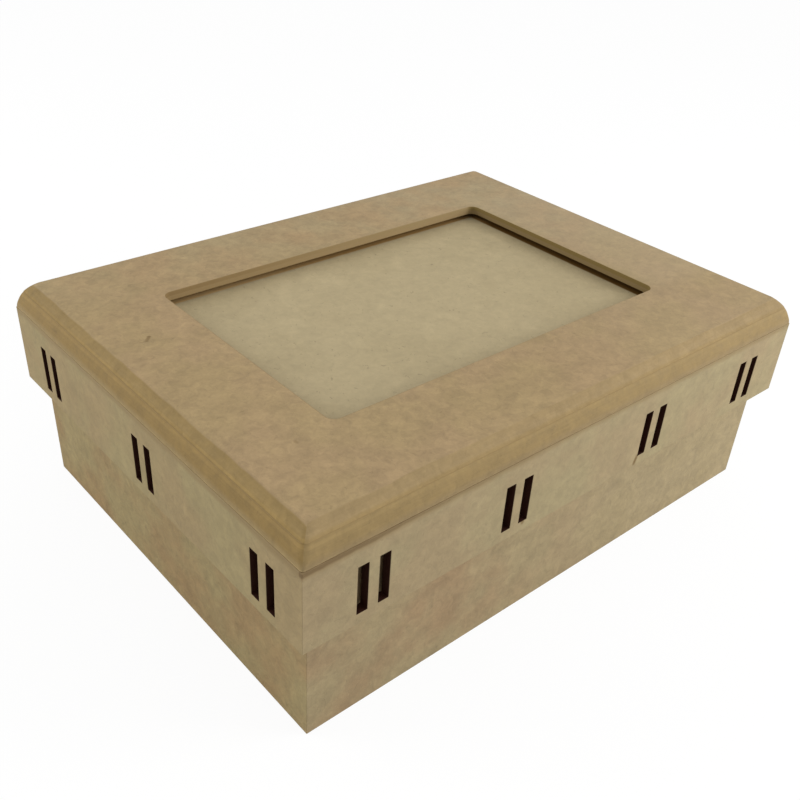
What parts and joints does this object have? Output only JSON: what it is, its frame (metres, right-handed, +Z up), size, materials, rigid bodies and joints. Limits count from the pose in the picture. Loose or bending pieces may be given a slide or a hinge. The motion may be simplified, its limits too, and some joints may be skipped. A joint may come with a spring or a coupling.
{
  "type": "photo box",
  "caption": "Rectangular fibreboard keepsake box with a slip-over lid that has a moulded edge, a recessed picture window and pairs of upright ribbon slots in its skirt.",
  "frame": {"origin": "middle of the box's underside", "axes": "+X along the long sides, +Z up, -Y is the front, long side"},
  "size_m": [0.21, 0.16, 0.074],
  "materials": {
    "mdf_base": "raw fibreboard, smooth face",
    "mdf_skirt": "raw fibreboard, smooth face, scorched slot edges",
    "mdf_moulding": "raw fibreboard, routed edge",
    "mdf_lid_top": "raw fibreboard, smooth face and routed edge",
    "mdf_panel": "raw fibreboard, smooth face",
    "steel_button": "zinc plated, satin",
    "steel_screw": "zinc plated"
  },
  "bodies": {
    "base": {"base_bottom": "mdf_base", "base_front_wall": "mdf_base", "base_right_wall": "mdf_base", "base_back_wall": "mdf_base", "base_left_wall": "mdf_base"},
    "lid": {"lid_front_skirt": "mdf_skirt", "lid_right_skirt": "mdf_skirt", "lid_back_skirt": "mdf_skirt", "lid_left_skirt": "mdf_skirt", "lid_frame_board": "mdf_moulding", "lid_window_board": "mdf_lid_top", "photo_panel": "mdf_panel", "turn_button_screws": "steel_screw"},
    "turn_button_1": {"turn_button_1": "steel_button"},
    "turn_button_2": {"turn_button_2": "steel_button"},
    "turn_button_3": {"turn_button_3": "steel_button"},
    "turn_button_4": {"turn_button_4": "steel_button"}
  },
  "joints": [
    {"name": "lid_lift", "type": "slide", "parent": "base", "child": "lid", "axis": [0, 0, 1], "range_m": [0, 0.06]},
    {"name": "turn_button_1_turn", "type": "hinge", "parent": "lid", "child": "turn_button_1", "pos_m": [-0.05, -0.06475, 0.065], "axis": [0, 0, 1], "range_deg": [-90, 90]},
    {"name": "turn_button_2_turn", "type": "hinge", "parent": "lid", "child": "turn_button_2", "pos_m": [0.05, -0.06475, 0.065], "axis": [0, 0, 1], "range_deg": [-90, 90]},
    {"name": "turn_button_3_turn", "type": "hinge", "parent": "lid", "child": "turn_button_3", "pos_m": [-0.05, 0.06475, 0.065], "axis": [0, 0, 1], "range_deg": [-90, 90]},
    {"name": "turn_button_4_turn", "type": "hinge", "parent": "lid", "child": "turn_button_4", "pos_m": [0.05, 0.06475, 0.065], "axis": [0, 0, 1], "range_deg": [-90, 90]}
  ]
}
